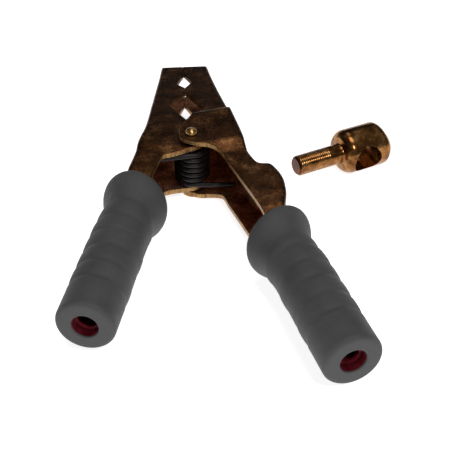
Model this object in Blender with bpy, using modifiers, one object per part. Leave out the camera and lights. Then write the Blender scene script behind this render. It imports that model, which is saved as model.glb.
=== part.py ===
"""Ground clamp: two folded arms on one rivet, coil spring, two grips and a loose cable stud.

The rivet axis is the world Z axis, the jaws point along +Y and z = 0 is the plane the
rivet's flat lower head stands on. All plan dimensions below are in millimetres.
"""

import math

import bmesh
import bpy
from mathutils import Matrix, Vector

MM = 0.001

# Heights: the clamp's middle plane and its folded sheet
MID_Z = 21.0
SHEET = 3.0
CHEEK_HALF = 16.0
JAW_HALF = 12.0
RAISED_HALF = 19.3
TANG_HALF = 8.0

# Handles
HANDLE_OFFSET = 23.55
HANDLE_ANGLE = math.radians(13.95)
RIGHT_END = 167.33
LEFT_END = 135.16
RIGHT_MOUTH = 93.4
LEFT_MOUTH = 97.9
TANG_SHORT = 26.0
TANG_SIDE = 7.0

# Grips and liners
GRIP_R = 15.0
GRIP_END_R = 14.7
GRIP_BORE_R = 12.7
GRIP_HOLE_R = 6.5
GRIP_WALL = 5.0
NECK_R = 14.5
RING_COUNT = 5
RING_PITCH = 12.0
RING_START = 21.0
RING_DEPTH = 0.6
LINER_R = 12.4
LINER_BORE_R = 11.2
LINER_HOLE_R = 5.0
LINER_TOP = 75.0
GRIP_STEPS = 40

# Collars: turned radius, then width, height, inward shift, and lean inward and upward
COLLAR_R = 18.6
RIGHT_COLLAR = (18.7, 18.7, 1.36, 0.221, -0.149)
LEFT_COLLAR = (18.0, 19.3, 0.76, 0.112, -0.176)

# Pivot
RIVET_R = 2.6
RIVET_HOLE_R = 2.9
RIVET_HEAD_R = 3.5
RIVET_FOOT_R = 6.2
SMALL_GAP = 0.3

# Spring
COIL_R = 8.8
WIRE_R = 1.45
COIL_TURNS = 6
COIL_HALF = 10.0
COIL_STEPS = 20
LEG_LEFT = (-27.4, -10.4, 8.6)
LEG_RIGHT = (23.6, -10.4, -10.0)

# Cable stud, lying on the table
STUD_TIP = (60.2, 2.0)
STUD_ANGLE = math.radians(22.5)
STUD_SHANK_R = 6.0
STUD_SHANK = 30.0
STUD_HEAD_R = 13.2
STUD_HEAD = 29.8
STUD_HOLE_R = 9.0
STUD_HOLE_AT = 12.4
STUD_ROLL = math.radians(8.0)
STUD_STEPS = 48
STUD_PORT_R = 6.6
STUD_PORT_Y = -47.5

# Jaw line and notches
JAW_LINE = -1.2
JAW_TIP = 88.7

RIGHT_OUTER = [
    (14.2, JAW_TIP), (15.8, 76.7), (17.5, 65.9), (19.3, 55.4), (21.2, 45.3), (22.7, 37.8),
    (24.3, 27.0), (25.6, 19.0), (26.7, 12.4), (27.8, 5.9), (28.7, -0.5), (29.3, -5.8),
    (29.8, -9.6), (30.5, -13.9), (31.5, -17.5), (33.2, -22.2), (34.3, -24.6), (35.6, -26.2),
    (38.2, -26.6), (40.7, -26.2), (42.3, -27.5), (44.2, -31.5), (45.8, -35.7), (46.8, -39.8),
    (47.2, -43.0), (47.2, -52.2), (46.8, -55.5), (46.1, -58.8), (45.2, -62.8), (44.5, -66.4),
]
RIGHT_FRONT = [
    (33.9, -70.0), (29.3, -56.0), (26.0, -46.3), (23.4, -38.1), (20.8, -30.2), (18.9, -24.5),
    (17.9, -20.5), (17.0, -17.3), (15.5, -14.4), (13.3, -12.3), (11.2, -11.0), (8.6, -10.1),
    (4.2, -9.7), (1.6, -8.8), (-0.6, -7.6), (-2.9, -6.4), (-4.9, -5.0), (-6.5, -2.6),
    (-7.1, 1.2), (-6.4, 5.8), (-4.4, 10.4), (-2.4, 15.0),
]
RIGHT_NOTCHES = [(16.5, None), (34.9, 8.1), (45.2, 4.4), (55.2, None),
                 (61.1, None), (68.4, 3.5), (79.1, None)]
LEFT_OUTER = [
    (-15.0, JAW_TIP), (-16.6, 76.4), (-17.8, 68.6), (-19.0, 60.9), (-20.2, 53.3),
    (-21.3, 46.0), (-22.5, 38.7), (-23.5, 31.4), (-24.6, 24.6), (-25.6, 18.5), (-27.0, 12.9),
    (-28.8, 7.4), (-30.2, 1.6), (-31.3, -5.6), (-32.7, -11.4), (-34.3, -17.0),
    (-35.7, -22.2), (-37.2, -28.0),
]
LEFT_FRONT = [
    (-22.5, -29.0), (-20.7, -23.4), (-18.9, -17.8), (-17.6, -14.2), (-16.2, -12.6),
    (-14.0, -12.1), (-10.5, -11.1), (-7.0, -10.2), (-2.5, -8.6), (1.5, -7.4), (5.0, -5.2),
    (7.2, -1.5), (7.2, 3.5), (5.0, 9.0), (1.0, 14.0),
]
LEFT_NOTCHES = [(21.0, None), (31.1, -6.8), (42.4, -12.3), (55.2, None),
                (61.1, None), (66.2, -6.1), (79.0, None)]

# Half height of each arm against distance along its handle direction
RIGHT_PROFILE = [
    (-100.0, JAW_HALF), (-36.0, 14.0), (-26.5, 14.3), (-21.0, RAISED_HALF), (11.0, RAISED_HALF),
    (19.5, CHEEK_HALF), (60.0, CHEEK_HALF), (71.0, 15.4), (76.0, 14.0), (80.0, 12.4),
    (86.0, 9.4), (90.0, TANG_HALF), (180.0, TANG_HALF),
]
LEFT_PROFILE = [
    (-100.0, JAW_HALF), (-36.0, 14.0), (-12.0, 15.0), (8.0, 15.2), (13.0, 14.2), (28.0, 13.8),
    (34.0, 13.1), (41.0, 11.4), (50.0, 9.0), (54.0, TANG_HALF), (150.0, TANG_HALF),
]
CUTTER_HALF = 30.0

PARTS = "ground_clamp"
CUTTERS = "cutters"


def clear_scene():
    for obj in list(bpy.data.objects):
        bpy.data.objects.remove(obj, do_unlink=True)


def make_collection(name):
    collection = bpy.data.collections.new(name)
    bpy.context.scene.collection.children.link(collection)
    return collection


def make_material(name, colour, metallic, roughness):
    material = bpy.data.materials.new(name)
    material.use_nodes = True
    shader = material.node_tree.nodes["Principled BSDF"]
    shader.inputs["Base Color"].default_value = (*colour, 1.0)
    shader.inputs["Metallic"].default_value = metallic
    shader.inputs["Roughness"].default_value = roughness
    material.diffuse_color = (*colour, 1.0)
    return material


def add_object(name, mesh, material=None):
    """Links a mesh as an object, among the parts when it has a material, else as a cutter."""
    obj = bpy.data.objects.new(name, mesh)
    if material is None:
        bpy.data.collections[CUTTERS].objects.link(obj)
        obj.hide_render = True
        obj.display_type = "WIRE"
    else:
        bpy.data.collections[PARTS].objects.link(obj)
        mesh.materials.append(material)
    return obj


def prism_mesh(name, points, low, high, matrix=None):
    """A straight prism over a plan outline given in millimetres."""
    bm = bmesh.new()
    base = [bm.verts.new((x * MM, y * MM, low * MM)) for x, y in points]
    rim = [bm.edges.new((base[index - 1], base[index])) for index in range(len(base))]
    bmesh.ops.edgeloop_fill(bm, edges=rim)
    top = bmesh.ops.extrude_face_region(bm, geom=bm.faces[:])
    lifted = [item for item in top["geom"] if isinstance(item, bmesh.types.BMVert)]
    bmesh.ops.translate(bm, verts=lifted, vec=(0.0, 0.0, (high - low) * MM))
    if matrix is not None:
        bmesh.ops.transform(bm, matrix=matrix, verts=bm.verts[:])
    bmesh.ops.recalc_face_normals(bm, faces=bm.faces[:])
    mesh = bpy.data.meshes.new(name)
    bm.to_mesh(mesh)
    bm.free()
    return mesh


def add_boolean(obj, cutter, operation, label):
    modifier = obj.modifiers.new(label, "BOOLEAN")
    modifier.operation = operation
    modifier.solver = "EXACT"
    modifier.object = cutter


def cylinder_cutter(name, radius, depth, matrix, segments=48):
    bm = bmesh.new()
    bmesh.ops.create_cone(
        bm, cap_ends=True, segments=segments, radius1=radius * MM, radius2=radius * MM,
        depth=depth * MM, matrix=matrix,
    )
    mesh = bpy.data.meshes.new(name)
    bm.to_mesh(mesh)
    bm.free()
    return add_object(name, mesh)


def revolve(name, profile, steps, material):
    """A solid of revolution about local Z; the profile runs down its outer side."""
    bm = bmesh.new()
    verts = [bm.verts.new((radius * MM, 0.0, height * MM)) for radius, height in profile]
    closed = profile[0][0] > 0.0 and profile[-1][0] > 0.0
    pairs = list(zip(verts, verts[1:]))
    if closed:
        pairs.append((verts[-1], verts[0]))
    for start, end in pairs:
        bm.edges.new((start, end))
    mesh = bpy.data.meshes.new(name)
    bm.to_mesh(mesh)
    bm.free()
    obj = add_object(name, mesh, material)
    screw = obj.modifiers.new("turned", "SCREW")
    screw.angle = math.tau
    screw.steps = steps
    screw.render_steps = steps
    screw.use_merge_vertices = True
    screw.merge_threshold = 0.00001
    return obj


def handle_frame(side):
    """Start point, direction and inward normal of one handle's axis in plan."""
    start = Vector((side * HANDLE_OFFSET, 0.0))
    along = Vector((side * math.sin(HANDLE_ANGLE), -math.cos(HANDLE_ANGLE)))
    inward = Vector((-side * math.cos(HANDLE_ANGLE), -math.sin(HANDLE_ANGLE)))
    return start, along, inward


def handle_point(side, distance, inward_offset):
    start, along, inward = handle_frame(side)
    point = start + along * distance + inward * inward_offset
    return (point.x, point.y)


def offset_line(points, distance):
    """Moves an open polyline sideways to its left by a distance, with mitred corners."""
    moved = []
    last = len(points) - 1
    for index, point in enumerate(points):
        before = Vector(points[max(index - 1, 0)])
        here = Vector(point)
        after = Vector(points[min(index + 1, last)])
        normals = []
        for a, b in ((before, here), (here, after)):
            if (b - a).length > 0.0:
                step = (b - a).normalized()
                normals.append(Vector((-step.y, step.x)))
        middle = sum(normals, Vector((0.0, 0.0))).normalized()
        reach = distance / middle.dot(normals[0])
        moved.append(tuple(here + middle * reach))
    return moved


def jaw_edge(notches, side):
    line = JAW_LINE + side * SMALL_GAP / 2.0
    return [(line if x is None else x, y) for y, x in notches] + [(line, JAW_TIP)]


def profile_solid(name, profile, side, inset):
    """The side view of an arm as a prism laid across the handle direction."""
    top = [(u, half - inset) for u, half in profile]
    bottom = [(u, -half) for u, half in reversed(top)]
    _, along, inward = handle_frame(side)
    across = Vector((-along.y, along.x, 0.0))
    columns = (Vector((along.x, along.y, 0.0)), Vector((0.0, 0.0, 1.0)), across)
    matrix = Matrix([[column[row] for column in columns] for row in range(3)]).to_4x4()
    matrix.translation = (0.0, 0.0, MID_Z * MM)
    return prism_mesh(name, top + bottom, -120.0, 120.0, matrix)


def build_arm(name, side, outer, front, notches, profile, end, mouth, material):
    """One folded arm: plan outline cut to its side view, then hollowed from the inner side."""
    tang_end = end - TANG_SHORT
    tang_out = [handle_point(side, mouth + 14.0, -TANG_SIDE), handle_point(side, tang_end, -TANG_SIDE)]
    tang_in = [handle_point(side, tang_end, TANG_SIDE), handle_point(side, mouth + 14.0, TANG_SIDE)]
    wall = outer + tang_out
    plan = wall + tang_in + front + jaw_edge(notches, side)
    low = MID_Z - CUTTER_HALF
    high = MID_Z + CUTTER_HALF
    arm = add_object(name, prism_mesh(name, plan, low, high), material)
    side_view = add_object(name + "_side", profile_solid(name + "_side", profile, side, 0.0))
    add_boolean(arm, side_view, "INTERSECT", "side view")
    edges = arm.modifiers.new("sheet edges", "BEVEL")
    edges.width = 0.9 * MM
    edges.segments = 2
    edges.limit_method = "ANGLE"
    edges.angle_limit = math.radians(50.0)
    inner = offset_line(wall, SHEET * -side)
    far = -side * 110.0
    beyond = handle_point(side, tang_end + 20.0, -TANG_SIDE + SHEET)
    tip = (inner[0][0], JAW_TIP + 15.0)
    hollow_plan = [tip] + inner + [beyond, (far, beyond[1]), (far, tip[1])]
    hollow = add_object(name + "_hollow", prism_mesh(name + "_hollow", hollow_plan, low, high))
    hollow_side = add_object(
        name + "_hollow_side", profile_solid(name + "_hollow_side", stretched(profile), side, SHEET)
    )
    add_boolean(hollow, hollow_side, "INTERSECT", "inner height")
    add_boolean(arm, hollow, "DIFFERENCE", "channel")
    bore = cylinder_cutter(
        name + "_pivot_bore", RIVET_HOLE_R, 4.0 * CUTTER_HALF, Matrix.Translation((0, 0, MID_Z * MM))
    )
    add_boolean(arm, bore, "DIFFERENCE", "pivot hole")
    return arm


def stretched(profile):
    """The same side view run on past both ends, for a cut that must pass through."""
    first = (profile[0][0] - 30.0, profile[0][1])
    last = (profile[-1][0] + 30.0, profile[-1][1])
    return [first] + profile[1:-1] + [last]


def drill_stud_port(arm):
    """The round hole in the right arm's lobe that takes the cable stud."""
    turn = Matrix.Rotation(math.pi / 2.0, 4, "Y")
    place = Matrix.Translation((46.0 * MM, STUD_PORT_Y * MM, MID_Z * MM)) @ turn
    add_boolean(arm, cylinder_cutter("stud_port", STUD_PORT_R, 14.0, place), "DIFFERENCE", "stud port")


def grip_profile(mouth):
    """Rows of radius, height and lean weight: down the outer side, then back up the bore."""
    rows = [
        (COLLAR_R - 1.5, mouth), (COLLAR_R - 0.6, mouth - 0.6), (COLLAR_R - 0.1, mouth - 1.8),
        (COLLAR_R, mouth - 3.4), (COLLAR_R - 0.4, mouth - 5.6), (COLLAR_R - 1.2, mouth - 8.3),
        (COLLAR_R - 2.6, mouth - 11.4), (NECK_R + 0.5, mouth - 14.2), (NECK_R, mouth - 16.5),
    ]
    for ring in range(RING_COUNT, 0, -1):
        foot = RING_START + (ring - 1) * RING_PITCH
        if foot + RING_PITCH < mouth - 20.0:
            rows.append((GRIP_R - 0.15, foot + RING_PITCH * 0.78))
        rows.append((GRIP_R, foot + RING_PITCH * 0.45))
        rows.append((GRIP_R - 0.15, foot + RING_PITCH * 0.2))
        rows.append((GRIP_R - RING_DEPTH, foot))
    rows += [(GRIP_END_R, RING_START - 2.6), (GRIP_END_R, 2.4), (GRIP_END_R - 0.7, 0.7)]
    rows.append((GRIP_END_R - 2.4, 0.0))
    outer = [(radius, height, smooth(height, mouth - 33.0, mouth - 12.0)) for radius, height in rows]
    rows = [
        (GRIP_HOLE_R + 0.6, 0.0), (GRIP_HOLE_R, 0.6), (GRIP_HOLE_R, GRIP_WALL),
        (GRIP_BORE_R, GRIP_WALL), (GRIP_BORE_R, mouth - 15.0), (GRIP_BORE_R + 2.3, mouth - 9.0),
        (COLLAR_R - 2.1, mouth - 4.0), (COLLAR_R - 1.9, mouth - 0.4),
    ]
    inner = [(radius, height, smooth(height, mouth - 14.0, mouth - 4.0)) for radius, height in rows]
    return outer + inner


def smooth(value, start, end):
    share = min(max((value - start) / (end - start), 0.0), 1.0)
    return share * share * (3.0 - 2.0 * share)


def build_grip(name, side, end, mouth, collar, material):
    """A ringed hand grip, turned first, then its collar shaped oval and leaned over."""
    rows = grip_profile(mouth)
    turned = revolve(name + "_turned", [row[:2] for row in rows], GRIP_STEPS, material)
    lean = turned.data.attributes.new("lean", "FLOAT", "POINT")
    lean.data.foreach_set("value", [row[2] for row in rows])
    bpy.context.view_layer.update()
    shaped = turned.evaluated_get(bpy.context.evaluated_depsgraph_get())
    mesh = bpy.data.meshes.new_from_object(shaped)
    bpy.data.objects.remove(turned, do_unlink=True)
    mesh.name = name
    mesh.materials.clear()
    weights = [item.value for item in mesh.attributes["lean"].data]
    width, height, shift, lean_in, lean_up = collar
    for vertex, weight in zip(mesh.vertices, weights):
        x = vertex.co.x * (1.0 + weight * (width / COLLAR_R - 1.0)) + side * shift * MM * weight
        y = vertex.co.y * (1.0 + weight * (height / COLLAR_R - 1.0))
        rise = (side * x * lean_in + y * lean_up) * weight
        vertex.co = (x, y, vertex.co.z - rise)
    mesh.attributes.remove(mesh.attributes["lean"])
    grip = add_object(name, mesh, material)
    grip.matrix_world = handle_matrix(side, end)
    return grip


def liner_profile():
    foot = GRIP_WALL + SMALL_GAP
    return [
        (LINER_R, LINER_TOP), (LINER_R, foot), (LINER_HOLE_R, foot), (LINER_HOLE_R, foot + 1.2),
        (LINER_BORE_R, foot + 1.2), (LINER_BORE_R, LINER_TOP),
    ]


def handle_matrix(side, end):
    """Local X across the handle in plan, Y up, Z along it from the end face to the rivet."""
    x, y = handle_point(side, end, 0.0)
    _, along, inward = handle_frame(side)
    across = Vector((inward.x, inward.y, 0.0)) * side
    columns = (across, Vector((0.0, 0.0, 1.0)), Vector((-along.x, -along.y, 0.0)))
    matrix = Matrix([[column[row] for column in columns] for row in range(3)]).to_4x4()
    matrix.translation = (x * MM, y * MM, MID_Z * MM)
    return matrix


def build_rivet(material):
    under_head = RAISED_HALF + SMALL_GAP
    crown = under_head + 3.0
    dome = []
    for step in range(6):
        angle = math.radians(90.0 - 15.0 * step)
        dome.append((RIVET_HEAD_R * math.cos(angle), under_head + 0.6 + 2.4 * math.sin(angle)))
    dome[0] = (0.0, crown)
    profile = dome + [
        (RIVET_HEAD_R, under_head + 0.6), (RIVET_HEAD_R, under_head), (RIVET_R, under_head),
        (RIVET_R, -under_head), (RIVET_FOOT_R, -under_head), (RIVET_FOOT_R, -MID_Z + 0.5),
        (RIVET_FOOT_R - 0.5, -MID_Z), (0.0, -MID_Z),
    ]
    rivet = revolve("pivot_rivet", profile, 32, material)
    rivet.location = (0.0, 0.0, MID_Z * MM)
    return rivet


def spring_path():
    """Left leg, closed coil winding down, right leg; all centre-line points in millimetres."""
    points = [LEG_LEFT]
    count = COIL_TURNS * COIL_STEPS
    for step in range(count + 1):
        angle = math.radians(270.0) + math.tau * step / COIL_STEPS
        height = COIL_HALF - 2.0 * COIL_HALF * step / count
        points.append((COIL_R * math.cos(angle), COIL_R * math.sin(angle), height))
    points.append(LEG_RIGHT)
    return points


def build_spring(material):
    curve = bpy.data.curves.new("torsion_spring_path", "CURVE")
    curve.dimensions = "3D"
    curve.bevel_depth = WIRE_R * MM
    curve.bevel_resolution = 2
    curve.use_fill_caps = True
    points = spring_path()
    spline = curve.splines.new("POLY")
    spline.points.add(len(points) - 1)
    for target, (x, y, z) in zip(spline.points, points):
        target.co = (x * MM, y * MM, (z + MID_Z) * MM, 1.0)
    carrier = bpy.data.objects.new("torsion_spring_path", curve)
    bpy.context.scene.collection.objects.link(carrier)
    evaluated = carrier.evaluated_get(bpy.context.evaluated_depsgraph_get())
    mesh = bpy.data.meshes.new_from_object(evaluated)
    bpy.data.objects.remove(carrier, do_unlink=True)
    bm = bmesh.new()
    bm.from_mesh(mesh)
    bmesh.ops.remove_doubles(bm, verts=bm.verts[:], dist=0.00001)
    bmesh.ops.recalc_face_normals(bm, faces=bm.faces[:])
    bm.to_mesh(mesh)
    bm.free()
    mesh.materials.clear()
    return add_object("torsion_spring", mesh, material)


def build_stud(material):
    """Threaded shank and cross-drilled head, turned about local Z from the tip upward."""
    total = STUD_SHANK + STUD_HEAD
    profile = [
        (0.0, total), (STUD_HEAD_R - 3.0, total), (STUD_HEAD_R, total - 3.0),
        (STUD_HEAD_R, STUD_SHANK + 4.0), (STUD_HEAD_R - 1.0, STUD_SHANK + 1.6),
        (STUD_HEAD_R - 3.0, STUD_SHANK), (STUD_SHANK_R, STUD_SHANK), (STUD_SHANK_R, 1.4),
        (STUD_SHANK_R - 1.2, 0.0), (0.0, 0.0),
    ]
    stud = revolve("cable_stud", profile, STUD_STEPS, material)
    axis = Vector((math.cos(STUD_ANGLE), math.sin(STUD_ANGLE), 0.0))
    level = Vector((math.sin(STUD_ANGLE), -math.cos(STUD_ANGLE), 0.0))
    columns = (level, axis.cross(level), axis)
    matrix = Matrix([[column[row] for column in columns] for row in range(3)]).to_4x4()
    matrix.translation = (STUD_TIP[0] * MM, STUD_TIP[1] * MM, STUD_HEAD_R * MM)
    stud.matrix_world = matrix
    turn = Matrix.Rotation(STUD_ROLL, 4, "Z") @ Matrix.Rotation(math.pi / 2.0, 4, "Y")
    lift = Matrix.Translation((0.0, 0.0, (STUD_SHANK + STUD_HOLE_AT) * MM))
    hole = cylinder_cutter("stud_cross_hole", STUD_HOLE_R, 40.0, matrix @ lift @ turn)
    add_boolean(stud, hole, "DIFFERENCE", "cable hole")
    return stud


def soften(obj, angle):
    obj.data.shade_smooth()
    obj.data.set_sharp_from_angle(angle=math.radians(angle))


def build():
    clear_scene()
    make_collection(PARTS)
    make_collection(CUTTERS)
    brown = make_material("chromated steel, arms", (0.16, 0.09, 0.05), 0.9, 0.4)
    inner_brown = make_material("chromated steel, inner arm", (0.15, 0.09, 0.05), 0.9, 0.4)
    brass = make_material("rivet gold", (0.55, 0.38, 0.16), 0.9, 0.3)
    black = make_material("spring steel", (0.03, 0.03, 0.03), 0.8, 0.45)
    grey = make_material("grip grey", (0.06, 0.06, 0.06), 0.0, 0.6)
    grey_left = make_material("left grip grey", (0.06, 0.06, 0.06), 0.0, 0.6)
    red = make_material("liner red", (0.16, 0.01, 0.02), 0.0, 0.5)
    red_left = make_material("left liner red", (0.16, 0.01, 0.02), 0.0, 0.5)
    gold = make_material("stud chromate", (0.42, 0.25, 0.09), 0.9, 0.3)

    right_arm = build_arm(
        "right_arm", 1.0, RIGHT_OUTER, RIGHT_FRONT, RIGHT_NOTCHES, RIGHT_PROFILE, RIGHT_END,
        RIGHT_END - RIGHT_MOUTH, brown,
    )
    drill_stud_port(right_arm)
    build_arm(
        "left_arm", -1.0, LEFT_OUTER, LEFT_FRONT, LEFT_NOTCHES, LEFT_PROFILE, LEFT_END,
        LEFT_END - LEFT_MOUTH, inner_brown,
    )
    build_rivet(brass)
    build_spring(black)
    for name, side, end, mouth, collar, skin, lining in (
        ("right_grip", 1.0, RIGHT_END, RIGHT_MOUTH, RIGHT_COLLAR, grey, red),
        ("left_grip", -1.0, LEFT_END, LEFT_MOUTH, LEFT_COLLAR, grey_left, red_left),
    ):
        grip = build_grip(name, side, end, mouth, collar, skin)
        soften(grip, 40.0)
        liner = revolve(name + "_liner", liner_profile(), GRIP_STEPS, lining)
        liner.matrix_world = handle_matrix(side, end)
    build_stud(gold)


build()
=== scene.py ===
"""Looks of the ground clamp: folded chromated arms, moulded grips, spring, rivet and cable stud."""

import math

import bmesh
import bpy
import numpy as np
from mathutils import Matrix, Vector


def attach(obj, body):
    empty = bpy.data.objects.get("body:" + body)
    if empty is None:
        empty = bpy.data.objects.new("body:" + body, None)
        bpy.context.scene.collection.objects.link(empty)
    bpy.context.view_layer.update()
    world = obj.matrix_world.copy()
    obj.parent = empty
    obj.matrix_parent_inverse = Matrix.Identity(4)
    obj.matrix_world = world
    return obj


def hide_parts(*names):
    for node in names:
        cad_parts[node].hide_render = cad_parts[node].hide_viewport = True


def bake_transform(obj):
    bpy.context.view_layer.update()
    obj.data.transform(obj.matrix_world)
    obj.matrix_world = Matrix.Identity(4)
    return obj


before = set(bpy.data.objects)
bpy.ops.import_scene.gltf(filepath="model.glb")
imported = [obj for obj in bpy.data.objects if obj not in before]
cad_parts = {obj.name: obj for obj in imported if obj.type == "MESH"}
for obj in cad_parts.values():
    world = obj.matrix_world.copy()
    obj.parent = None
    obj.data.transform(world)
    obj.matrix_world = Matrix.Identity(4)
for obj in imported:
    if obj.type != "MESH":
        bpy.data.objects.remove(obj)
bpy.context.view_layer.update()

MM = 0.001
MID_Z = 21.0

# Sheet metal, in millimetres
SHEET = 3.0
BEND_R = 1.9
INNER_BEND_R = 0.5
RIM = 0.28
JAW_LINE = -1.2
HALF_GAP = 0.03
JAW_TIP = 88.7
PIVOT_HOLE_R = 2.9

# Handles
HANDLE_OFFSET = 23.55
HANDLE_ANGLE = math.radians(13.95)
RIGHT_END = 167.33
LEFT_END = 135.16
RIGHT_GRIP = 93.4
LEFT_GRIP = 97.9
TANG_SHORT = 26.0
TANG_SIDE = 7.0
TANG_START = 14.0

RIGHT_OUTER = [
    (14.2, JAW_TIP), (15.8, 76.7), (17.5, 65.9), (19.3, 55.4), (21.2, 45.3), (22.7, 37.8),
    (24.3, 27.0), (25.6, 19.0), (26.7, 12.4), (27.8, 5.9), (28.7, -0.5), (29.3, -5.8),
    (29.8, -9.6), (30.5, -13.9), (31.5, -17.5), (33.2, -22.2), (34.3, -24.6), (35.6, -26.1),
    (38.2, -26.4), (40.7, -26.5), (42.3, -27.6), (44.2, -31.5), (45.8, -35.7), (46.8, -39.8),
    (47.2, -43.0), (47.2, -52.2), (46.8, -55.5), (46.1, -58.8), (45.2, -62.8), (44.5, -66.4),
]
RIGHT_FRONT = [
    (33.9, -70.0), (29.3, -56.0), (26.0, -46.3), (23.4, -38.1), (20.8, -30.2), (18.9, -24.5),
    (17.9, -20.5), (17.0, -17.3), (15.5, -14.4), (13.3, -12.3), (11.2, -11.0), (8.6, -10.1),
    (4.2, -9.7), (1.6, -8.8), (-0.6, -7.6), (-2.9, -6.4), (-4.9, -5.0), (-6.5, -2.6),
    (-7.1, 1.2), (-6.4, 5.8), (-4.4, 10.4), (-2.4, 15.0),
]
RIGHT_NOTCHES = [(16.5, None), (34.9, 8.1), (45.2, 4.4), (55.2, None),
                 (61.1, None), (68.4, 3.5), (79.1, None)]
LEFT_OUTER = [
    (-15.0, JAW_TIP), (-16.6, 76.4), (-17.8, 68.6), (-19.0, 60.9), (-20.2, 53.3),
    (-21.3, 46.0), (-22.5, 38.7), (-23.5, 31.4), (-24.6, 24.6), (-25.6, 18.5), (-27.0, 12.9),
    (-28.8, 7.4), (-30.2, 1.6), (-31.3, -5.6), (-32.7, -11.4), (-34.3, -17.0),
    (-35.7, -22.2), (-37.2, -28.0),
]
LEFT_FRONT = [
    (-22.5, -29.0), (-20.7, -23.4), (-18.9, -17.8), (-17.6, -14.2), (-16.2, -12.6),
    (-14.0, -12.1), (-10.5, -11.1), (-7.0, -10.2), (-2.5, -8.6), (1.5, -7.4), (5.0, -5.2),
    (7.2, -1.5), (7.2, 3.5), (5.0, 9.0), (1.0, 14.0),
]
LEFT_NOTCHES = [(21.0, None), (31.1, -6.8), (42.4, -12.3), (55.2, None),
                (61.1, None), (66.2, -6.1), (79.0, None)]

# Half height of each arm against distance along its handle direction
RIGHT_PROFILE = [
    (-100.0, 12.0), (-36.0, 14.0), (-26.5, 14.3), (-21.0, 19.3), (11.0, 19.3), (19.5, 16.0),
    (60.0, 16.0),
    (71.0, 15.4), (76.0, 14.0), (80.0, 12.4), (86.0, 9.4), (90.0, 8.0), (180.0, 8.0),
]
LEFT_PROFILE = [
    (-100.0, 12.0), (-36.0, 14.0), (-12.0, 15.0), (8.0, 15.2), (13.0, 14.2), (28.0, 13.8),
    (34.0, 13.1),
    (41.0, 11.4), (50.0, 9.0), (54.0, 8.0), (150.0, 8.0),
]
STUD_PORT_R = 6.6
STUD_PORT_Y = -47.5
STUD_PORT_X = 46.0

# Points of the arm's section: across each cheek, round each bend and down each web
OUTER_CHEEK = 13
OUTER_BEND = 5
INNER_CHEEK = 11
INNER_BEND = 2
WEB_STEPS = 8
OUT_SLOT = 0
EDGE_SLOT = 1
IN_SLOT = 2

# Grips
GRIP_R = 15.0
GRIP_END_R = 14.7
GRIP_END_ROUND = 2.4
GRIP_HOLE_R = 6.5
GRIP_WALL = 5.0
HOLE_ROUND = 0.8
FUNNEL_ROWS = 6
GRIP_BORE_R = 12.7
NECK_R = 14.5
RING_PITCH = 12.0
RING_START = 21.0
RING_DEPTH = 0.85
RING_WIDTH = 1.9
FINGER_PITCH = 22.0
FINGER_START = 18.0
FINGER_DEPTH = 0.35
COLLAR_R = 18.6

# Collar's lip and neck: distance in from its radius (out from the neck's), and below the mouth
COLLAR_LIP = [
    (2.3, 0.1), (1.7, 0.0), (1.0, 0.25), (0.45, 0.8), (0.12, 1.7), (0.0, 2.8), (0.05, 4.0),
    (0.3, 5.3), (0.75, 6.8), (1.4, 8.5), (2.2, 10.2), (3.0, 12.0),
]
COLLAR_NECK = [(0.5, 14.0), (0.12, 15.6)]
# Collar: half width, half height, shift outwards, lean across and lean upwards
RIGHT_COLLAR = (18.7, 18.7, 1.36, 0.221, -0.149)
LEFT_COLLAR = (18.0, 19.3, 0.76, 0.112, -0.176)

# Pivot rivet
RIVET_R = 2.6
RIVET_HEAD_R = 3.4
RIVET_DOME = 2.8
RIVET_FOOT_R = 6.2
RIVET_UNDER = 19.6

# Spring
COIL_R = 8.8
WIRE_R = 1.45
COIL_TURNS = 6
COIL_HALF = 10.0
LEG_LEFT = (-27.4, -10.4, 8.6)
LEG_RIGHT = (23.6, -10.4, -10.0)
LEG_POINTS = 12

# Cable stud
STUD_TIP = (60.2, 2.0)
STUD_ANGLE = math.radians(22.5)
STUD_SHANK_R = 6.0
STUD_SHANK = 30.0
STUD_THREAD = 22.0
THREAD_PITCH = 1.25
THREAD_DEPTH = 0.17
STUD_HEAD_R = 13.2
STUD_HEAD = 29.8
STUD_HOLE_R = 9.0
STUD_ROLL = math.radians(8.0)
STUD_HOLE_AT = 12.4
FAR_SLANT = 3.0
# Below this height the stud's tip takes a darker finish: painted shade.
TIP_SHADE_TO = 0.7

# Camera, floor and light
FLOOR_GLOW = 0.84
FLOOR_DROP = -0.0002
FLOOR_RINGS = [(0.5, 0.0), (1.6, 0.0), (2.0, 0.02), (2.2, 0.09), (2.3, 0.17), (2.33, 0.24)]
LIGHT_TO = (0.02, -0.03, 0.0)
FRONT_TO = (0.03, -0.03, 0.0)
SKY_TILT = (0.10, -0.35, 0.93)
SKY_FROM = 0.2
SKY_DARK = 0.012
SKY_LIGHT = 0.16
CAMERA_AT = (-0.01553, -0.45550, 0.33207)
CAMERA_TO = (0.01474, -0.06085, 0.0210)
CAMERA_LENS = 76.64


# ---------------------------------------------------------------- small helpers

def link(obj):
    bpy.context.scene.collection.objects.link(obj)
    return obj


def mesh_object(name, verts, faces, materials, face_slots=None, sharp=35.0):
    mesh = bpy.data.meshes.new(name)
    mesh.from_pydata([tuple(v) for v in verts], [], faces)
    for material in materials:
        mesh.materials.append(material)
    if face_slots is not None:
        mesh.polygons.foreach_set("material_index", face_slots)
    bm = bmesh.new()
    bm.from_mesh(mesh)
    bmesh.ops.recalc_face_normals(bm, faces=bm.faces[:])
    bm.to_mesh(mesh)
    bm.free()
    mesh.shade_smooth()
    mesh.set_sharp_from_angle(angle=math.radians(sharp))
    return link(bpy.data.objects.new(name, mesh))


def smooth(value, start, end):
    share = np.clip((value - start) / (end - start), 0.0, 1.0)
    return share * share * (3.0 - 2.0 * share)


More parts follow.
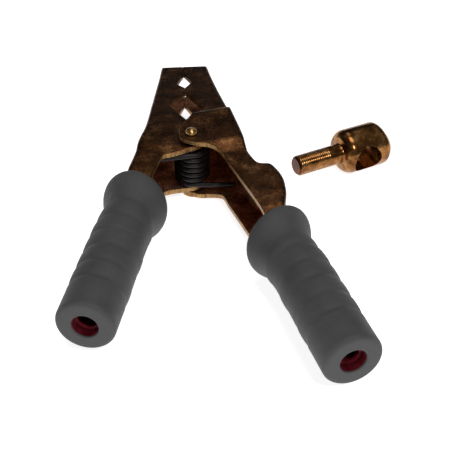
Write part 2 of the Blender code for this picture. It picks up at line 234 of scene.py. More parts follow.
def resample(points, step):
    """The same open polyline with points at most a step apart, corners kept."""
    out = [points[0]]
    for a, b in zip(points, points[1:]):
        count = max(1, int(math.ceil(math.dist(a, b) / step)))
        for index in range(1, count + 1):
            share = index / count
            out.append((a[0] + (b[0] - a[0]) * share, a[1] + (b[1] - a[1]) * share))
    return np.array(out, float)


def relaxed(path, passes):
    path = path.copy()
    for _ in range(passes):
        path[1:-1] = 0.25 * path[:-2] + 0.5 * path[1:-1] + 0.25 * path[2:]
    return path


def handle_point(side, distance, inward):
    x = side * (HANDLE_OFFSET + distance * math.sin(HANDLE_ANGLE) - inward * math.cos(HANDLE_ANGLE))
    y = -distance * math.cos(HANDLE_ANGLE) - inward * math.sin(HANDLE_ANGLE)
    return (x, y)


def handle_matrix(side, end):
    """Local X across the handle in plan, Y up, Z along it from the end face to the rivet."""
    x, y = handle_point(side, end, 0.0)
    across = Vector((-math.cos(HANDLE_ANGLE), -side * math.sin(HANDLE_ANGLE), 0.0))
    back = Vector((-side * math.sin(HANDLE_ANGLE), math.cos(HANDLE_ANGLE), 0.0))
    columns = (across, Vector((0.0, 0.0, 1.0)), back)
    matrix = Matrix([[column[row] for column in columns] for row in range(3)]).to_4x4()
    matrix.translation = (x * MM, y * MM, MID_Z * MM)
    return matrix


def cylinder(name, radius, depth, matrix, segments=64):
    bm = bmesh.new()
    bmesh.ops.create_cone(
        bm, cap_ends=True, segments=segments, radius1=radius * MM, radius2=radius * MM,
        depth=depth * MM, matrix=matrix,
    )
    mesh = bpy.data.meshes.new(name)
    bm.to_mesh(mesh)
    bm.free()
    obj = link(bpy.data.objects.new(name, mesh))
    return obj


def cut(obj, cutter, label):
    modifier = obj.modifiers.new(label, "BOOLEAN")
    modifier.operation = "DIFFERENCE"
    modifier.solver = "EXACT"
    modifier.object = cutter


def bake(obj, cutters, sharp):
    """Applies the modifiers, drops the cutters and shades the result."""
    bpy.context.view_layer.update()
    shaped = obj.evaluated_get(bpy.context.evaluated_depsgraph_get())
    mesh = bpy.data.meshes.new_from_object(shaped)
    obj.modifiers.clear()
    obj.data = mesh
    for cutter in cutters:
        bpy.data.objects.remove(cutter, do_unlink=True)
    mesh.shade_smooth()
    mesh.set_sharp_from_angle(angle=math.radians(sharp))
    return obj


# ---------------------------------------------------------------- materials

class Finish:
    """A node material built round one Principled shader."""

    def __init__(self, name):
        self.material = bpy.data.materials.new(name)
        self.material.use_nodes = True
        self.tree = self.material.node_tree
        self.shader = self.tree.nodes["Principled BSDF"]
        self.place = self.tree.nodes.new("ShaderNodeTexCoord").outputs["Object"]

    def join(self, out, socket):
        self.tree.links.new(out, socket)

    def mapped(self, scale):
        node = self.tree.nodes.new("ShaderNodeMapping")
        node.inputs["Scale"].default_value = scale
        self.join(self.place, node.inputs["Vector"])
        return node.outputs["Vector"]

    def noise(self, size, detail=4.0, roughness=0.6, stretch=(1.0, 1.0, 1.0)):
        node = self.tree.nodes.new("ShaderNodeTexNoise")
        node.inputs["Scale"].default_value = 1.0 / (size * MM)
        node.inputs["Detail"].default_value = detail
        node.inputs["Roughness"].default_value = roughness
        source = self.place if stretch == (1.0, 1.0, 1.0) else self.mapped(stretch)
        self.join(source, node.inputs["Vector"])
        return node.outputs["Fac"]

    def ramp(self, fac, stops):
        node = self.tree.nodes.new("ShaderNodeValToRGB")
        band = node.color_ramp
        while len(band.elements) < len(stops):
            band.elements.new(0.5)
        for element, (at, colour) in zip(band.elements, stops):
            element.position = at
            element.color = (*colour, 1.0)
        self.join(fac, node.inputs["Fac"])
        return node.outputs["Color"]

    def mix(self, kind, fac, a, b):
        node = self.tree.nodes.new("ShaderNodeMix")
        node.data_type = "RGBA"
        node.blend_type = kind
        self.feed(fac, node.inputs["Factor"])
        self.feed(a, node.inputs["A"], 6)
        self.feed(b, node.inputs["B"], 7)
        return node.outputs[2]

    def feed(self, value, socket, index=None):
        if index is not None:
            socket = socket.node.inputs[index]
        if isinstance(value, tuple):
            socket.default_value = (*value, 1.0)
        elif isinstance(value, (int, float)):
            socket.default_value = value
        else:
            self.join(value, socket)

    def span(self, fac, low, high, start=0.35, end=0.65):
        node = self.tree.nodes.new("ShaderNodeMapRange")
        node.inputs["From Min"].default_value = start
        node.inputs["From Max"].default_value = end
        node.inputs["To Min"].default_value = low
        node.inputs["To Max"].default_value = high
        self.join(fac, node.inputs["Value"])
        return node.outputs["Result"]

    def bump(self, height, depth, strength, under=None):
        node = self.tree.nodes.new("ShaderNodeBump")
        node.inputs["Distance"].default_value = depth * MM
        node.inputs["Strength"].default_value = strength
        self.join(height, node.inputs["Height"])
        if under is not None:
            self.join(under, node.inputs["Normal"])
        return node.outputs["Normal"]

    def set(self, colour, metallic, roughness, normal=None, specular=None):
        self.feed(colour, self.shader.inputs["Base Color"])
        self.feed(metallic, self.shader.inputs["Metallic"])
        self.feed(roughness, self.shader.inputs["Roughness"])
        if normal is not None:
            self.join(normal, self.shader.inputs["Normal"])
        if specular is not None:
            self.feed(specular, self.shader.inputs["Specular IOR Level"])
        return self.material


def chromate(name, dark, middle, light, rough):
    """Brown-gold chromate on sheet steel: cloudy patches, speckle and a faint rolled grain."""
    f = Finish(name)
    cloud = f.noise(9.0, 5.0, 0.62)
    patch = f.ramp(cloud, [(0.30, dark), (0.52, middle), (0.74, light)])
    dots = f.noise(1.1, 3.0, 0.7)
    spots = f.ramp(dots, [
        (0.38, (0.22, 0.18, 0.17)), (0.5, (1.0, 1.0, 1.0)), (0.62, (2.1, 1.95, 1.7)),
    ])
    colour = f.mix("MULTIPLY", 0.5, patch, spots)
    rolled = f.noise(1.3, 3.0, 0.6, (0.12, 1.0, 1.0))
    streaks = f.ramp(rolled, [(0.35, (0.7, 0.66, 0.62)), (0.65, (1.2, 1.2, 1.2))])
    colour = f.mix("MULTIPLY", 0.5, colour, streaks)
    roughness = f.span(dots, rough - 0.09, rough + 0.12)
    fine = f.bump(f.noise(0.45, 2.0, 0.5), 0.05, 0.35)
    normal = f.bump(dots, 0.22, 0.5, fine)
    return f.set(colour, 1.0, roughness, normal)


def cut_edge(name, dark, light, rough):
    """Blanked edge of the sheet with shear marks across it; its pale gold is partly the edge's own
    bare colour and partly a painted highlight.
    """
    f = Finish(name)
    marks = f.noise(0.7, 3.0, 0.65, (1.0, 1.0, 0.16))
    # The light stop is brightened as a painted highlight on the edge.
    colour = f.ramp(marks, [(0.34, dark), (0.62, light)])
    stain = f.noise(5.0, 4.0, 0.6)
    stained = f.ramp(stain, [(0.35, (0.45, 0.38, 0.33)), (0.58, (1.1, 1.1, 1.1))])
    colour = f.mix("MULTIPLY", 0.7, colour, stained)
    normal = f.bump(marks, 0.2, 0.5)
    return f.set(colour, 0.75, f.span(stain, rough - 0.08, rough + 0.1), normal)


def moulded(name, dark, light, rough):
    """Matt moulded grip: faint clouding and a fine grained skin."""
    f = Finish(name)
    cloud = f.noise(14.0, 4.0, 0.55)
    colour = f.ramp(cloud, [(0.3, dark), (0.7, light)])
    grain = f.noise(0.55, 3.0, 0.6)
    grained = f.ramp(grain, [(0.35, (0.8, 0.8, 0.8)), (0.65, (1.15, 1.15, 1.15))])
    colour = f.mix("MULTIPLY", 0.35, colour, grained)
    normal = f.bump(grain, 0.06, 0.5, f.bump(cloud, 0.5, 0.35))
    return f.set(colour, 0.0, f.span(cloud, rough - 0.06, rough + 0.08), normal, 0.35)


def oiled_wire(name):
    """Black oiled spring wire with a patchy film and fine drawing marks."""
    f = Finish(name)
    film = f.noise(3.5, 4.0, 0.6)
    colour = f.ramp(film, [(0.32, (0.006, 0.005, 0.005)), (0.68, (0.026, 0.020, 0.020))])
    drawn = f.noise(0.5, 2.0, 0.6)
    return f.set(colour, 0.7, f.span(film, 0.30, 0.46), f.bump(drawn, 0.05, 0.4))


def bright_gold(name, dark, light, rough):
    """Smooth bright gold chromate on the rivet."""
    f = Finish(name)
    cloud = f.noise(2.6, 4.0, 0.6)
    colour = f.ramp(cloud, [(0.32, dark), (0.66, light)])
    fine = f.noise(0.35, 2.0, 0.6)
    return f.set(colour, 0.95, f.span(cloud, rough - 0.06, rough + 0.1), f.bump(fine, 0.05, 0.4))


def turned(name, dark, middle, light, rough):
    """Chromate on turned steel: warm clouding, pits and dark specks."""
    f = Finish(name)
    cloud = f.noise(6.0, 5.0, 0.65)
    patch = f.ramp(cloud, [(0.3, dark), (0.5, middle), (0.72, light)])
    pits = f.noise(0.9, 3.0, 0.7)
    pitted = f.ramp(pits, [
        (0.36, (0.4, 0.33, 0.28)), (0.5, (1.0, 1.0, 1.0)), (0.68, (1.4, 1.35, 1.2)),
    ])
    colour = f.mix("MULTIPLY", 0.25, patch, pitted)
    normal = f.bump(pits, 0.04, 0.35, f.bump(f.noise(0.3, 2.0, 0.5), 0.01, 0.2))
    return f.set(colour, 0.95, f.span(cloud, rough - 0.05, rough + 0.10), normal)


def red_sleeve(name):
    """Dark red soft plastic, clouded and slightly grained."""
    f = Finish(name)
    cloud = f.noise(4.0, 4.0, 0.6)
    colour = f.ramp(cloud, [(0.3, (0.085, 0.003, 0.008)), (0.7, (0.21, 0.009, 0.020))])
    return f.set(colour, 0.0, f.span(cloud, 0.42, 0.6), f.bump(f.noise(0.6, 3.0, 0.6), 0.08, 0.4))


ARM_OUT = chromate(
    "arm_chromate", (0.034, 0.013, 0.005), (0.100, 0.042, 0.016), (0.29, 0.140, 0.058), 0.34,
)
# Lighter copy of the arm chromate for the inner faces: painted light inside the channel.
ARM_IN_LIT = chromate("arm_inner_painted_light", (0.10, 0.036, 0.018), (0.34, 0.145, 0.074), (0.70, 0.40, 0.22), 0.48)
# Cut edges: pale gold, partly a painted highlight.
ARM_EDGE_HIGHLIT = cut_edge("arm_cut_edge_painted_highlight", (0.17, 0.080, 0.028), (0.46, 0.275, 0.105), 0.40)
GRIP_SKIN = moulded("grip_grey", (0.060, 0.060, 0.0605), (0.080, 0.080, 0.0805), 0.66)
WIRE_SKIN = oiled_wire("spring_black")
RIVET_SKIN = bright_gold("rivet_gold", (0.30, 0.15, 0.045), (0.66, 0.42, 0.17), 0.24)
STUD_SKIN = turned(
    "stud_chromate", (0.085, 0.030, 0.009), (0.25, 0.105, 0.030), (0.50, 0.28, 0.10), 0.19,
)
# Darker chromate on the stud's tip: painted shade.
TIP_PAINTED_SHADE = chromate(
    "stud_tip_painted_shade", (0.030, 0.008, 0.003), (0.085, 0.026, 0.010), (0.17, 0.062, 0.024), 0.36,
)
SLEEVE_SKIN = red_sleeve("liner_red")


# ---------------------------------------------------------------- arms

def half_height(profile, side, x, y):
    """Half height of the arm at plan points, with the joggles eased over."""
    u = side * x * math.sin(HANDLE_ANGLE) - y * math.cos(HANDLE_ANGLE)
    at = [row[0] for row in profile]
    half = [row[1] for row in profile]
    shifts = np.linspace(-1.1, 1.1, 7)
    return sum(np.interp(u + shift, at, half) for shift in shifts) / len(shifts)


def descending(path):
    y = path[:, 1].copy()
    for index in range(1, len(y)):
        y[index] = min(y[index], y[index - 1] - 0.015)
    return np.column_stack([path[:, 0], y])


def arm_rows(side, outer, front, notches, end, collar_at):
    """Matched plan points of the outer wall and the front edge, from the jaw tip down."""
    tang_end = end - TANG_SHORT
    tang_start = collar_at + TANG_START
    wall = outer + [handle_point(side, tang_start, -TANG_SIDE),
                    handle_point(side, tang_end, -TANG_SIDE)]
    wall = descending(relaxed(resample(wall, 0.7), 5))
    tang = [handle_point(side, tang_end, TANG_SIDE), handle_point(side, tang_start, TANG_SIDE)]
    lower = relaxed(resample(tang + front, 0.7), 4)[::-1]
    line = JAW_LINE + side * HALF_GAP
    jaw = [(line if x is None else x, y) for y, x in notches] + [(line, JAW_TIP)]
    upper = resample(jaw[::-1], 1.2)
    joint = resample([tuple(upper[-1]), tuple(lower[0])], 0.7)[1:-1]
    edge = descending(np.vstack([upper, joint, lower]))
    corners = [y for _, y in jaw]
    floor = max(wall[-1, 1], edge[-1, 1])
    wall_y = [y for y in wall[:, 1] if y >= floor]
    kept = sorted(set(wall_y + corners), reverse=True)
    fixed = np.array(kept)
    extra = [y for y in edge[:, 1] if y >= floor and np.abs(fixed - y).min() > 0.12]
    levels = np.array(sorted(set(kept + extra), reverse=True))
    wall_x = np.interp(-levels, -wall[:, 1], wall[:, 0])
    edge_x = np.interp(-levels, -edge[:, 1], edge[:, 0])
    return levels, wall_x, edge_x


def inward_normals(x, y, side, passes):
    """Unit vectors square to a descending plan line, towards the arm's open side."""
    dx = np.gradient(x)
    dy = np.gradient(y)
    normal = side * np.column_stack([dy, -dx])
    normal /= np.linalg.norm(normal, axis=1)[:, None]
    normal = relaxed(normal, passes)
    return normal / np.linalg.norm(normal, axis=1)[:, None]


def arm_section(profile, side, wall, inward, edge, into):
    """One closed ring of points round the folded sheet, for every row at once."""
    def height_at(points):
        return half_height(profile, side, points[:, 0], points[:, 1])

    ring = []

    def add(points, z):
        ring.append(np.column_stack([points, z]))

    def cheek(sign, from_edge, thick, last_at, steps):
        shares = np.linspace(0.0, 1.0, steps)
        if not from_edge:
            shares = shares[::-1]
        first = edge + into * RIM
        for share in shares:
            points = first + (last_at - first) * share
            add(points, sign * (height_at(points) - thick))

    def bend(sign, radius, base, top, downward, steps):
        angles = np.linspace(0.0, 90.0, steps + 1)[1:-1]
        if not downward:
            angles = angles[::-1]
        for angle in angles:
            a = math.radians(angle)
            level = top - radius * (1.0 - math.cos(a))
            add(base - inward * radius * math.sin(a), sign * level)

    def web(points, reach, sign):
        for share in np.linspace(1.0, -1.0, WEB_STEPS):
            add(points, sign * reach * share)

    bend_at = wall + inward * BEND_R
    half = height_at(bend_at)
    cheek(1.0, True, 0.0, bend_at, OUTER_CHEEK)
    bend(1.0, BEND_R, bend_at, half, True, OUTER_BEND)
    web(wall, half - BEND_R, 1.0)
    bend(-1.0, BEND_R, bend_at, half, False, OUTER_BEND)
    cheek(-1.0, False, 0.0, bend_at, OUTER_CHEEK)
    edge_half = height_at(edge)
    add(edge, -(edge_half - RIM))
    add(edge, -(edge_half - SHEET + RIM))
    inner_at = wall + inward * (SHEET + INNER_BEND_R)
    inner_half = height_at(inner_at) - SHEET
    cheek(-1.0, True, SHEET, inner_at, INNER_CHEEK)
    bend(-1.0, INNER_BEND_R, inner_at, inner_half, True, INNER_BEND)
    web(wall + inward * SHEET, inner_half - INNER_BEND_R, -1.0)
    bend(1.0, INNER_BEND_R, inner_at, inner_half, False, INNER_BEND)
    cheek(1.0, False, SHEET, inner_at, INNER_CHEEK)
    add(edge, edge_half - SHEET + RIM)
    add(edge, edge_half - RIM)
    return ring


def section_slots(columns):
    """Material slot of the face that follows each point of the section."""
    outer = 2 * OUTER_CHEEK + 2 * (OUTER_BEND - 1) + WEB_STEPS
    inner_from = outer + 2
    inner_to = inner_from + 2 * INNER_CHEEK + 2 * (INNER_BEND - 1) + WEB_STEPS
    slots = []
    for column in range(columns):
        if column < outer - 1 or column == columns - 1:
            slots.append(OUT_SLOT)
        elif inner_from <= column < inner_to - 1:
            slots.append(IN_SLOT)
        else:
            slots.append(EDGE_SLOT)
    return slots


def build_arm(name, side, outer, front, notches, profile, end, grip):
    levels, wall_x, edge_x = arm_rows(side, outer, front, notches, end, end - grip)
    wall = np.column_stack([wall_x, levels])
    edge = np.column_stack([edge_x, levels])
    inward = inward_normals(wall_x, levels, side, 6)
    into = -inward_normals(edge_x, levels, side, 0)
    ring = arm_section(profile, side, wall, inward, edge, into)
    rows = len(levels)
    columns = len(ring)
    verts = np.stack(ring, axis=1).reshape(-1, 3)
    verts = (verts + np.array([0.0, 0.0, MID_Z])) * MM
    slots = section_slots(columns)
    faces = []
    for row in range(rows - 1):
        for column in range(columns):
            a = row * columns + column
            b = row * columns + (column + 1) % columns
            faces.append((a, b, b + columns, a + columns))
    faces.append(tuple(range(columns)))
    faces.append(tuple(reversed(range((rows - 1) * columns, rows * columns))))
    face_slots = slots * (rows - 1) + [EDGE_SLOT, EDGE_SLOT]
    arm = mesh_object(name, verts, faces, [ARM_OUT, ARM_EDGE_HIGHLIT, ARM_IN_LIT], face_slots)
    middle = Matrix.Translation((0.0, 0.0, MID_Z * MM))
    bore = cylinder(name + "_bore", PIVOT_HOLE_R, 60.0, middle)
    cut(arm, bore, "pivot hole")
    cutters = [bore]
    if side > 0.0:
        turn = Matrix.Rotation(math.pi / 2.0, 4, "Y")
        place = Matrix.Translation((STUD_PORT_X * MM, STUD_PORT_Y * MM, MID_Z * MM)) @ turn
        port = cylinder("port_cut", STUD_PORT_R, 14.0, place)
        cut(arm, port, "stud port")
        cutters.append(port)
    return bake(arm, cutters, 32.0)


# ---------------------------------------------------------------- grips

def grip_radius(height, mouth, theta):
    """Radius of the grip's skin; theta 0 is the side that faces the other handle."""
    inner_side = 0.5 + 0.5 * math.cos(theta)
    outer_side = 1.0 - 0.75 * inner_side
    rest = GRIP_END_R + (GRIP_R - GRIP_END_R) * smooth(height, 14.0, 26.0)
    rest = rest + (NECK_R - GRIP_R) * smooth(height, mouth - 24.0, mouth - 15.0)
    span = smooth(height, RING_START - 3.0, RING_START)
    span = span * (1.0 - smooth(height, mouth - 20.0, mouth - 12.0))
    phase = (height - RING_START) / RING_PITCH
    groove = math.exp(-((phase - round(phase)) * RING_PITCH / RING_WIDTH) ** 2)
    radius = rest - span * RING_DEPTH * groove * outer_side
    finger = math.cos(math.tau * (height - FINGER_START) / FINGER_PITCH)
    radius -= span * FINGER_DEPTH * (0.5 + 0.5 * finger) * inner_side
    return radius


def grip_rows(mouth):
    """Rows as (radius or None for the ringed skin, height, lean weight)."""
    rows = []
    for inset, below in COLLAR_LIP:
        height = mouth - below
        rows.append((COLLAR_R - inset, height, smooth(height, mouth - 33.0, mouth - 12.0)))
    for out, below in COLLAR_NECK:
        height = mouth - below
        rows.append((NECK_R + out, height, smooth(height, mouth - 33.0, mouth - 12.0)))
    for height in np.arange(mouth - 16.6, GRIP_END_ROUND, -0.75):
        rows.append((None, float(height), smooth(height, mouth - 33.0, mouth - 12.0)))
    for step in range(7):
        a = math.radians(90.0 * step / 6.0)
        radius = GRIP_END_R - GRIP_END_ROUND * (1.0 - math.cos(a))
        rows.append((radius, GRIP_END_ROUND * (1.0 - math.sin(a)), 0.0))
    rows += [(GRIP_HOLE_R + 3.4, 0.0, 0.0), (GRIP_HOLE_R + 1.0, 0.0, 0.0)]
    for step in range(4):
        a = math.radians(90.0 * step / 4.0)
        radius = GRIP_HOLE_R + HOLE_ROUND * (1.0 - math.sin(a))
        rows.append((radius, HOLE_ROUND * (1.0 - math.cos(a)), 0.0))
    rows += [
        (GRIP_HOLE_R, HOLE_ROUND, 0.0), (GRIP_HOLE_R, GRIP_WALL - 0.3, 0.0),
        (GRIP_HOLE_R + 0.3, GRIP_WALL, 0.0), (GRIP_BORE_R, GRIP_WALL, 0.0),
        (GRIP_BORE_R, mouth - 40.0, 0.0),
    ]
    funnel = [
        (GRIP_BORE_R, 15.0), (GRIP_BORE_R + 0.5, 13.0), (GRIP_BORE_R + 2.0, 9.5),
        (COLLAR_R - 2.7, 6.0), (COLLAR_R - 2.4, 3.0), (COLLAR_R - 2.4, 0.6),
    ]
    for radius, below in funnel:
        height = mouth - below
        rows.append((radius, height, smooth(height, mouth - 14.0, mouth - 4.0)))
    return rows


def build_grip(name, side, end, mouth, collar):
    """Ringed grip with a leaning flared collar and a red-lined bore."""
    width, tall, shift, lean_in, lean_up = collar
    steps = 96
    rows = grip_rows(mouth)
    verts = []
    for radius, height, weight in rows:
        for step in range(steps):
            theta = math.tau * step / steps
            inward = math.cos(theta) * side
            r = radius
            if r is None:
                r = grip_radius(height, mouth, math.acos(max(-1.0, min(1.0, inward))))
            stretch = 1.0 + weight * (width / COLLAR_R - 1.0)
            x = r * math.cos(theta) * stretch + side * shift * weight
            y = r * math.sin(theta) * (1.0 + weight * (tall / COLLAR_R - 1.0))
            z = height - (side * x * lean_in + y * lean_up) * weight
            verts.append((x * MM, y * MM, z * MM))
    faces = []
    face_slots = []
    count = len(rows)
    lined = next(row for row in range(count) if rows[row][:2] == (GRIP_HOLE_R, HOLE_ROUND))
    for row in range(count):
        below = (row + 1) % count
        for step in range(steps):
            following = (step + 1) % steps
            faces.append((row * steps + step, row * steps + following,
                          below * steps + following, below * steps + step))
            face_slots.append(1 if lined <= row < count - FUNNEL_ROWS else 0)
    grip = mesh_object(name, verts, faces, [GRIP_SKIN, SLEEVE_SKIN], face_slots, 50.0)
    grip.data.transform(handle_matrix(side, end))
    return grip


# ---------------------------------------------------------------- rivet, spring and stud

def revolve(name, profile, steps, material, sharp=35.0):
    """A closed turned solid about local Z; its (radius, height) rows end on the axis."""
    verts = [(0.0, 0.0, profile[0][1] * MM)]
    for radius, height in profile[1:-1]:
        for step in range(steps):
            a = math.tau * step / steps
            verts.append((radius * math.cos(a) * MM, radius * math.sin(a) * MM, height * MM))
    verts.append((0.0, 0.0, profile[-1][1] * MM))
    faces = []
    last = len(verts) - 1
    rings = len(profile) - 2
    for step in range(steps):
        following = (step + 1) % steps
        faces.append((0, 1 + step, 1 + following))
        for row in range(rings - 1):
            a = 1 + row * steps
            b = a + steps
            faces.append((a + step, b + step, b + following, a + following))
        tail = 1 + (rings - 1) * steps
        faces.append((tail + step, last, tail + following))
    return mesh_object(name, verts, faces, [material], None, sharp)


def build_rivet():
    """Low dome on top, plain shank, wide flat foot that the clamp lies on."""
    profile = [(0.0, RIVET_UNDER + RIVET_DOME)]
    for step in range(1, 13):
        a = math.radians(90.0 - 7.5 * step)
        level = RIVET_UNDER + 0.5 + (RIVET_DOME - 0.5) * math.sin(a)
        profile.append((RIVET_HEAD_R * math.cos(a), level))
    profile += [
        (RIVET_HEAD_R, RIVET_UNDER + 0.3), (RIVET_HEAD_R - 0.2, RIVET_UNDER),
        (RIVET_R + 0.1, RIVET_UNDER), (RIVET_R, RIVET_UNDER - 0.2),
        (RIVET_R, -RIVET_UNDER + 0.2), (RIVET_R + 0.1, -RIVET_UNDER),
        (RIVET_FOOT_R - 0.2, -RIVET_UNDER), (RIVET_FOOT_R, -RIVET_UNDER - 0.2),
        (RIVET_FOOT_R, -MID_Z + 0.5), (RIVET_FOOT_R - 0.5, -MID_Z), (0.0, -MID_Z),
    ]
    rivet = revolve("rivet", profile, 64, RIVET_SKIN)
    rivet.location = (0.0, 0.0, MID_Z * MM)
    return rivet


def spring_points():
    """Left leg, closed coil winding down, right leg: centre line in millimetres."""
    steps = 48
    points = []
    start = np.array([0.0, -COIL_R, COIL_HALF])
    for share in np.linspace(0.0, 1.0, LEG_POINTS)[:-1]:
        points.append(np.array(LEG_LEFT) * (1.0 - share) + start * share)
    count = COIL_TURNS * steps
    for step in range(count + 1):
        angle = math.radians(270.0) + math.tau * step / steps
        height = COIL_HALF - 2.0 * COIL_HALF * step / count
        points.append(np.array([COIL_R * math.cos(angle), COIL_R * math.sin(angle), height]))
    last = points[-1]
    for share in np.linspace(0.0, 1.0, LEG_POINTS)[1:]:
        points.append(last * (1.0 - share) + np.array(LEG_RIGHT) * share)
    return np.array(points)


def build_spring():
    """Round wire swept along the coil and its two legs."""
    points = spring_points() + np.array([0.0, 0.0, MID_Z])
    ahead = np.gradient(points, axis=0)
    ahead /= np.linalg.norm(ahead, axis=1)[:, None]
    ahead = relaxed(ahead, 2)
    ahead /= np.linalg.norm(ahead, axis=1)[:, None]
    steps = 20
    verts = []
    for point, along in zip(points, ahead):
        side = np.cross(along, (0.0, 0.0, 1.0))
        side /= np.linalg.norm(side)
        up = np.cross(side, along)
        for step in range(steps):
            a = math.tau * step / steps
            verts.append((point + WIRE_R * (side * math.cos(a) + up * math.sin(a))) * MM)
    faces = []
    for row in range(len(points) - 1):
        for step in range(steps):
            following = (step + 1) % steps
            a = row * steps
            b = a + steps
            faces.append((a + step, a + following, b + following, b + step))
    faces.append(tuple(range(steps)))
    faces.append(tuple(reversed(range((len(points) - 1) * steps, len(points) * steps))))
    return mesh_object("spring", verts, faces, [WIRE_SKIN], None, 50.0)


def shank_radius(height, theta):
    """Threaded shank of the stud, plain near the head, chamfered at the tip."""
    depth = THREAD_DEPTH * (1.0 - smooth(height, STUD_THREAD - 1.5, STUD_THREAD))
    turns = height / THREAD_PITCH - theta / math.tau
    wave = abs(2.0 * (turns - math.floor(turns)) - 1.0)
    wave = wave * wave * (3.0 - 2.0 * wave)
    radius = STUD_SHANK_R - depth * (1.0 - wave)
    return min(radius, STUD_SHANK_R - 1.2 + height * 0.9)


def stud_rows(steps):
    """Rows of the stud as (height, radii round it), from the tip to the head's far face."""
    total = STUD_SHANK + STUD_HEAD
    threaded = list(np.arange(0.0, STUD_THREAD, THREAD_PITCH / 8.0))
    plain = list(np.arange(STUD_THREAD, STUD_SHANK - 1.0, 1.0))
    rows = []
    for height in threaded + plain:
        rows.append((height, [shank_radius(height, math.tau * s / steps) for s in range(steps)]))
    foot = [(0.0, -0.9), (0.25, -0.3), (0.9, 0.0)]
    shoulder = [
        (3.6, 0.0), (2.9, 0.15), (2.2, 0.6), (1.2, 1.7), (0.5, 3.0), (0.12, 4.2), (0.0, 5.4),
    ]
    far = [
        (0.0, 8.0), (0.0, 6.8), (0.0, 5.6), (0.0, 4.4), (0.0, 3.2), (0.25, 2.6), (2.6, 0.3),
        (3.2, 0.0),
    ]
    head = [(STUD_SHANK_R + out, STUD_SHANK + up) for out, up in foot]
    head += [(STUD_HEAD_R - inset, STUD_SHANK + up) for inset, up in shoulder]
    head += [(STUD_HEAD_R - inset, total - back) for inset, back in far]
    ups = [max(0.0, -math.sin(math.tau * s / steps)) for s in range(steps)]
    for radius, height in head:
        lean = FAR_SLANT * smooth(height, total - 6.0, total)
        rows.append((height, [radius - lean * up * up for up in ups]))
    return rows


def stud_mesh(steps):
    """The stud's skin along local Z, its tip painted darker as shade in the second slot."""
    rows = stud_rows(steps)
    verts = [(0.0, 0.0, 0.0)]
    for height, radii in rows:
        for step, radius in enumerate(radii):
            a = math.tau * step / steps
            verts.append((radius * math.cos(a) * MM, radius * math.sin(a) * MM, height * MM))
    verts.append((0.0, 0.0, (STUD_SHANK + STUD_HEAD) * MM))
    faces = []
    face_slots = []
    last = len(verts) - 1
    for step in range(steps):
        following = (step + 1) % steps
        faces.append((0, 1 + following, 1 + step))
        face_slots.append(1)
        for row in range(len(rows) - 1):
            a = 1 + row * steps
            b = a + steps
            faces.append((a + step, a + following, b + following, b + step))
            face_slots.append(1 if rows[row][0] < TIP_SHADE_TO else 0)
        tail = 1 + (len(rows) - 1) * steps
        faces.append((tail + step, tail + following, last))
        face_slots.append(0)
    return mesh_object("stud", verts, faces, [STUD_SKIN, TIP_PAINTED_SHADE], face_slots, 30.0)


def build_stud():
    """The loose stud: threaded shank, shoulder and a round head bored across."""
    stud = stud_mesh(72)
    turn = Matrix.Rotation(STUD_ROLL, 4, "Z") @ Matrix.Rotation(math.pi / 2.0, 4, "Y")
    lift = Matrix.Translation((0.0, 0.0, (STUD_SHANK + STUD_HOLE_AT) * MM))
    hole = cylinder("stud_hole", STUD_HOLE_R, 40.0, lift @ turn, 96)
    cut(stud, hole, "cable hole")
    bake(stud, [hole], 30.0)
    soft = stud.modifiers.new("worn edges", "BEVEL")
    soft.width = 0.35 * MM
    soft.segments = 2
    soft.limit_method = "ANGLE"
    soft.angle_limit = math.radians(40.0)
    soft.use_clamp_overlap = True
    axis = Vector((math.cos(STUD_ANGLE), math.sin(STUD_ANGLE), 0.0))
    level = Vector((math.sin(STUD_ANGLE), -math.cos(STUD_ANGLE), 0.0))
    columns = (level, axis.cross(level), axis)
    matrix = Matrix([[column[row] for column in columns] for row in range(3)]).to_4x4()
    matrix.translation = (STUD_TIP[0] * MM, STUD_TIP[1] * MM, STUD_HEAD_R * MM)
    stud.data.transform(matrix)
    return stud


# ---------------------------------------------------------------- assembly

def carry(obj, body, node):
    """Fixes a piece to its body, in place of its CAD node."""
    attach(obj, body)
    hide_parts(node)


def assemble():
    right = build_arm(
        "outer_arm_sheet", 1.0, RIGHT_OUTER, RIGHT_FRONT, RIGHT_NOTCHES, RIGHT_PROFILE,
        RIGHT_END, RIGHT_GRIP,
    )
    carry(right, "outer_half", "right_arm")
    left = build_arm(
        "inner_arm_sheet", -1.0, LEFT_OUTER, LEFT_FRONT, LEFT_NOTCHES, LEFT_PROFILE,
        LEFT_END, LEFT_GRIP,
    )
    carry(left, "inner_half", "left_arm")
    outer_skin = build_grip("outer_grip_skin", 1.0, RIGHT_END, RIGHT_GRIP, RIGHT_COLLAR)
    carry(outer_skin, "outer_half", "right_grip")
    inner_skin = build_grip("inner_grip_skin", -1.0, LEFT_END, LEFT_GRIP, LEFT_COLLAR)
    carry(inner_skin, "inner_half", "left_grip")
    carry(build_rivet(), "outer_half", "pivot_rivet")
    carry(build_stud(), "loose_stud", "cable_stud")
    spring = build_spring()
    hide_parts("torsion_spring")
    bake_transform(spring)
    for node in ("right_grip_liner", "left_grip_liner"):
        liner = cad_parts[node]
        for item in liner.material_slots:
            item.material = SLEEVE_SKIN


# ---------------------------------------------------------------- stage, light and camera

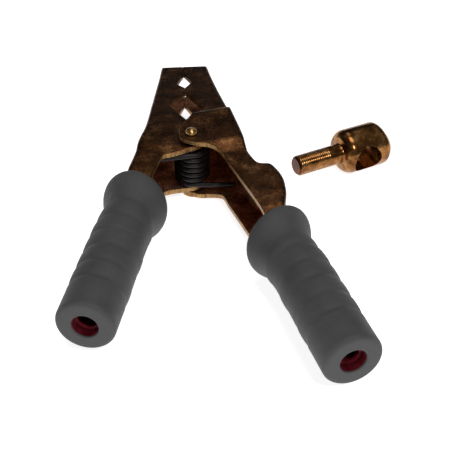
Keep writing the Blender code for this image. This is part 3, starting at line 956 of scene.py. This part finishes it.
def build_stage():
    """A round pale floor whose far rim curls up, so low views still end on it."""
    steps = 64
    verts = [(0.0, 0.0, 0.0)]
    for radius, height in FLOOR_RINGS:
        for step in range(steps):
            a = math.tau * step / steps
            verts.append((radius * math.cos(a), radius * math.sin(a), height))
    faces = []
    for step in range(steps):
        following = (step + 1) % steps
        faces.append((0, 1 + step, 1 + following))
        for row in range(len(FLOOR_RINGS) - 1):
            a = 1 + row * steps
            b = a + steps
            faces.append((a + step, b + step, b + following, a + following))
    mesh = bpy.data.meshes.new("floor")
    mesh.from_pydata(verts, [], faces)
    mesh.shade_smooth()
    floor = link(bpy.data.objects.new("floor", mesh))
    floor.location.z = FLOOR_DROP
    f = Finish("floor_white")
    pale = f.ramp(f.noise(400.0), [(0.0, (0.9, 0.9, 0.9)), (1.0, (0.92, 0.92, 0.92))])
    f.set(pale, 0.0, 0.9, None, 0.1)
    f.shader.inputs["Emission Color"].default_value = (1.0, 1.0, 1.0, 1.0)
    f.shader.inputs["Emission Strength"].default_value = FLOOR_GLOW
    mesh.materials.append(f.material)


def area_light(name, at, to, size, power):
    data = bpy.data.lights.new(name, "AREA")
    data.shape = "DISK"
    data.size = size
    data.energy = power
    lamp = link(bpy.data.objects.new(name, data))
    lamp.location = at
    lamp.rotation_euler = (Vector(to) - Vector(at)).to_track_quat("-Z", "Y").to_euler()


def build_world():
    """Dim soft surround, darkest low behind the clamp and lightest overhead."""
    world = bpy.data.worlds.new("studio")
    bpy.context.scene.world = world
    world.use_nodes = True
    tree = world.node_tree
    background = tree.nodes["Background"]
    place = tree.nodes.new("ShaderNodeTexCoord")
    tilt = tree.nodes.new("ShaderNodeVectorMath")
    tilt.operation = "DOT_PRODUCT"
    tilt.inputs[1].default_value = SKY_TILT
    span = tree.nodes.new("ShaderNodeMapRange")
    span.inputs["From Min"].default_value = SKY_FROM
    span.inputs["From Max"].default_value = 1.0
    span.inputs["To Min"].default_value = SKY_DARK
    span.inputs["To Max"].default_value = SKY_LIGHT
    tree.links.new(place.outputs["Generated"], tilt.inputs[0])
    tree.links.new(tilt.outputs["Value"], span.inputs["Value"])
    tree.links.new(span.outputs["Result"], background.inputs["Strength"])
    background.inputs["Color"].default_value = (1.0, 1.0, 1.0, 1.0)


def build_light():
    """Soft overhead light, a weak one behind and a smaller one in front."""
    build_world()
    area_light("top_light", (0.10, -0.02, 1.20), LIGHT_TO, 0.60, 4.4)
    area_light("back_light", (0.10, 0.72, 0.95), LIGHT_TO, 0.40, 0.5)
    area_light("front_light", (0.24, -0.72, 0.80), FRONT_TO, 0.16, 2.8)


def build_camera():
    data = bpy.data.cameras.new("camera")
    camera = link(bpy.data.objects.new("camera", data))
    camera.location = CAMERA_AT
    ahead = Vector(CAMERA_TO) - Vector(CAMERA_AT)
    camera.rotation_euler = ahead.to_track_quat("-Z", "Y").to_euler()
    data.lens = CAMERA_LENS
    data.sensor_width = 36.0
    data.clip_start = 0.01
    data.dof.use_dof = False
    bpy.context.scene.camera = camera


assemble()
build_stage()
build_light()
build_camera()
bpy.context.scene.view_settings.view_transform = "Standard"
